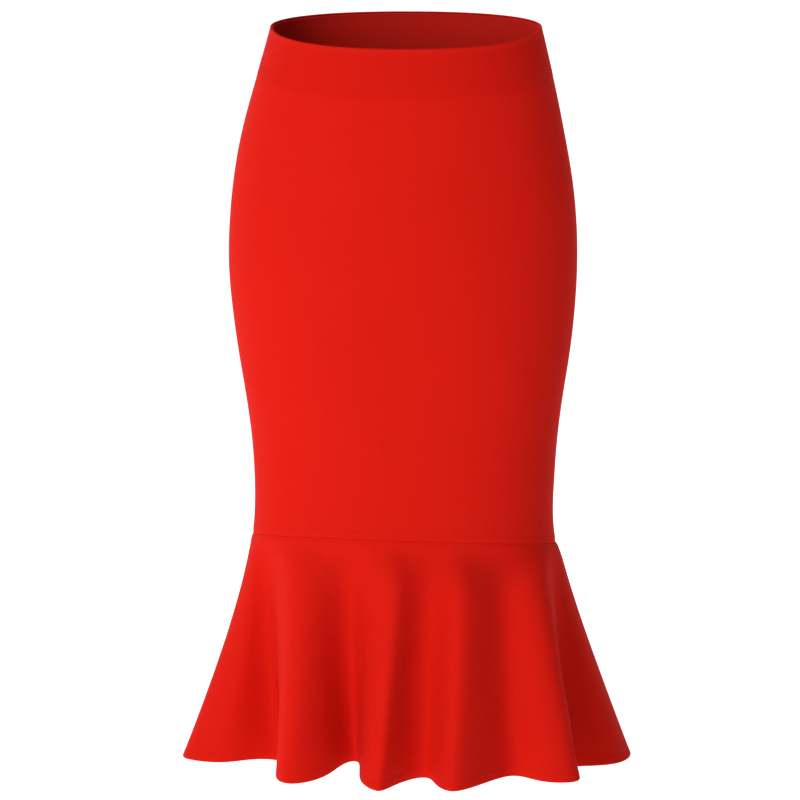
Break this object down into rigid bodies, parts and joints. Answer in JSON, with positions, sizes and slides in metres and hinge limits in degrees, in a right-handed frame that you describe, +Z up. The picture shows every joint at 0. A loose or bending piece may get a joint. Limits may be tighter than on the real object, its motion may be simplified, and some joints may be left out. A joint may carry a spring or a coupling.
{
  "type": "mermaid skirt",
  "caption": "Knee-length mermaid skirt in plain red knit, filled out and hollow: a close body from the waist, a seam round the knee and a flounce in soft folds.",
  "frame": {"origin": "middle of the waist opening, level with the waist edge at the side seams, where the wearer's waist holds the skirt up", "axes": "+Z up out of the waist, +X to the wearer's left, -Y is the front"},
  "size_m": [0.4246, 0.3256, 0.7015],
  "materials": {
    "outer_knit": "matte, smooth double knit with a faint sheen",
    "facing_knit": "matte, the same knit's inner side"
  },
  "bodies": {
    "root": {"body_front": "outer_knit", "body_back": "outer_knit", "flounce_front": "outer_knit", "flounce_back": "outer_knit", "waist_facing_front": "facing_knit", "waist_facing_back": "facing_knit"}
  },
  "joints": []
}
